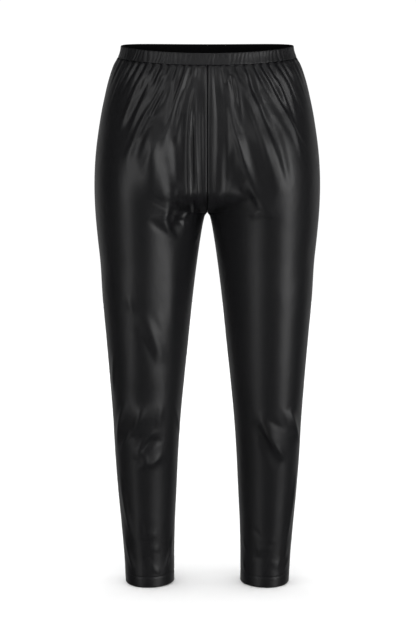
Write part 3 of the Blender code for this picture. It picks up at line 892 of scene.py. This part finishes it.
def closed_girth(drop, count):
    """Evenly spaced points of a whole waist section, with outward level normals."""
    left = girth(drop)[0] - (SEAM_GAP / 2, 0, 0)
    ring = np.concatenate([left, (left * (-1, 1, 1))[-2:0:-1]])
    ring = np.concatenate([ring, ring[:1]])
    along = np.concatenate([[0.0], np.cumsum(np.linalg.norm(np.diff(ring, axis=0), axis=1))])
    where = np.linspace(0, along[-1], count, endpoint=False)
    points = np.stack([np.interp(where, along, ring[:, axis]) for axis in range(3)], axis=1)
    tangent = np.roll(points, -1, axis=0) - np.roll(points, 1, axis=0)
    normal = np.stack([tangent[:, 1], -tangent[:, 0], np.zeros(count)], axis=1)
    return points, normal / np.linalg.norm(normal, axis=1)[:, None]


def band_section():
    """The casing's section: up the outside, over the upper edge, down the inside and round the
    lower edge, as rows of the drop, the distance out of the plain ring and the share of the ribs.
    """
    half = BAND_HEIGHT / 2
    turns = np.linspace(0, np.pi / 2, BAND_EDGE_POINTS)
    section = []
    for drop in np.linspace(half - BAND_EDGE, -half + BAND_EDGE, BAND_FACE_POINTS):
        section.append((drop, 0.0, RIBBED["outside"]))
    for turn in turns[1:]:
        drop = -half + BAND_EDGE * (1 - np.sin(turn))
        section.append((drop, -BAND_EDGE * (1 - np.cos(turn)), RIBBED["upper_edge"]))
    section.append((-half, -BAND_WALL + BAND_EDGE, RIBBED["upper_corner"]))
    for drop in np.linspace(-half + BAND_EDGE, half - BAND_EDGE, BAND_BACK_POINTS):
        section.append((drop, -BAND_WALL, RIBBED["inside"]))
    section.append((half, -BAND_WALL + BAND_EDGE, RIBBED["lower_corner"]))
    for turn in turns[:0:-1]:
        drop = half - BAND_EDGE * (1 - np.sin(turn))
        section.append((drop, -BAND_EDGE * (1 - np.cos(turn)), RIBBED["lower_edge"]))
    return section


def ribs(place, drop):
    """Height of the uneven ribs at these places, counted in ribs round the band, and this drop."""
    sway = RIB_SWAY * np.sin(RIB_SWAY_WAVE * place + RIB_SWAY_A_MM * drop) + RIB_LEAN_A_MM * drop
    rib = place + RIB_SHIFT * np.sin(RIB_SHIFT_WAVE * place) + sway
    quick = RIB_SIZE_QUICK * np.sin(RIB_SIZE_QUICK_WAVE * np.floor(rib))
    slow = RIB_SIZE_SLOW * np.cos(RIB_SIZE_SLOW_WAVE * np.floor(rib))
    return np.sin(np.pi * (rib % 1.0)) ** RIB_SHARPNESS * (RIB_SIZE + quick + slow)


def make_band():
    """The waistband's ring: ribbed outside, soft along its upper and lower edge, plainer inside."""
    count = BAND_RIBS * POINTS_A_RIB
    place = np.arange(count) / POINTS_A_RIB
    section = band_section()
    loops = []
    for drop, out, ribbed in section:
        points, normal = closed_girth(drop, count)
        lift = out + RIB_RELIEF * ribbed * (ribs(place, drop) - RIB_MIDDLE)
        loops.append(points + normal * lift[:, None])
    points = np.concatenate(loops) * MM
    loop = np.arange(len(points)).reshape(len(loops), count)
    after = np.roll(loop, -1, axis=0)
    squares = np.stack([loop, after, np.roll(after, -1, axis=1), np.roll(loop, -1, axis=1)], -1)
    faces = squares.reshape(-1, 4)
    hidden = np.array([out < -BAND_EDGE for drop, out, ribbed in section])
    inside = np.repeat(hidden & np.roll(hidden, -1), count)
    materials = (coated_cloth("band_face", CLOTH_BLACK, BAND_DULLNESS), cloth_back)
    return new_piece("waistband_casing", points.tolist(), faces.tolist(), materials, inside)


band = make_band()
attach(band, "root")
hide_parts("waistband")


# ---------------------------------------------------------------------------------------------
# Stitching: black thread, a stitch 2.6 mm long every 3.1 mm, in one line round each hem and one
# along the lower edge of the waistband. Each line lies just out of the cloth that it holds.
# ---------------------------------------------------------------------------------------------
STITCH_LENGTH = 2.6
STITCH_THICK = 0.5
STITCH_PITCH = 3.1
STITCH_SIDES = 6
STITCH_RINGS = 5
HEM_LINE_OUT = 0.1
WAIST_LINE_OUT = 0.25
WAIST_LINE_UP = 1.8
WAIST_LINE_POINTS = 720
THREAD_BLACK = (0.018, 0.018, 0.020)
THREAD_DULLNESS = 0.55
TWIST_SCALE = 4000.0
TWIST_DEPTH = 0.0001
TWIST_STRENGTH = 0.3

bpy.ops.object.select_all(action="DESELECT")
bpy.ops.mesh.primitive_uv_sphere_add(
    segments=STITCH_SIDES, ring_count=STITCH_RINGS, radius=0.5 * MM
)
stitch = bpy.context.object
stitch.name = "one_stitch"
bpy.ops.object.mode_set(mode="EDIT")
bpy.ops.transform.rotate(value=np.pi / 2, orient_axis="Y", center_override=(0.0, 0.0, 0.0))
bpy.ops.transform.resize(value=(STITCH_LENGTH, STITCH_THICK, STITCH_THICK))
bpy.ops.object.mode_set(mode="OBJECT")

thread, thread_shader, thread_start = new_material("thread", THREAD_BLACK, THREAD_DULLNESS)
thread_place = thread_start.add("ShaderNodeTexCoord", output="Object")
twist = thread_start.add("ShaderNodeTexNoise", {}, {"Vector": thread_place, "Scale": TWIST_SCALE})
bump = {"Height": twist, "Strength": TWIST_STRENGTH, "Distance": TWIST_DEPTH}
thread_relief = thread_start.add("ShaderNodeBump", {}, bump)
thread.node_tree.links.new(thread_relief.socket, thread_shader.inputs["Normal"])


def sew_line(name, points, normals):
    """Copies of the stitch laid in a row along a closed path of points and outward normals."""
    closed = np.concatenate([points, points[:1]])
    along = np.concatenate([[0.0], np.cumsum(np.linalg.norm(np.diff(closed, axis=0), axis=1))])
    count = int(along[-1] / STITCH_PITCH)
    shape = np.array([vertex.co[:] for vertex in stitch.data.vertices])
    corners = [list(face.vertices) for face in stitch.data.polygons]
    vertices, faces = [], []
    for number in range(count):
        at = along[-1] * (number + 0.5) / count
        spot = np.searchsorted(along, at) - 1
        centre = np.array([np.interp(at, along, closed[:, axis]) for axis in range(3)])
        run = closed[spot + 1] - closed[spot]
        run /= np.linalg.norm(run)
        out = normals[spot % len(normals)]
        side = np.cross(out, run)
        side /= np.linalg.norm(side)
        out = np.cross(run, side)
        first = len(vertices)
        vertices.extend((centre * MM + shape @ np.stack([run, side, out])).tolist())
        faces.extend([[first + corner for corner in face] for face in corners])
    line = new_piece(name, vertices, faces, (thread,))
    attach(line, "root")


def hem_path(side):
    """The stitched line round one leg, read from the two panels' own grids."""
    mirror = -1 if side == "right" else 1
    points, normals = [], []
    for face, turn in (("front", 1), ("back", -1)):
        outer, normal, drops = panel_grids[face + "_" + side]
        row = int(np.argmin(np.abs(drops - STITCH_LINE)))
        points.append(outer[row, ::turn] + normal[row, ::turn] * HEM_LINE_OUT)
        normals.append(normal[row, ::turn])
    return np.concatenate(points) * (mirror, 1, 1), np.concatenate(normals) * (mirror, 1, 1)


for side in ("left", "right"):
    points, normals = hem_path(side)
    sew_line("hem_stitches_" + side, points, normals)
points, normals = closed_girth(BAND_HEIGHT / 2 - WAIST_LINE_UP, WAIST_LINE_POINTS)
sew_line("waist_stitches", points + normals * WAIST_LINE_OUT, normals)
bpy.data.objects.remove(stitch)
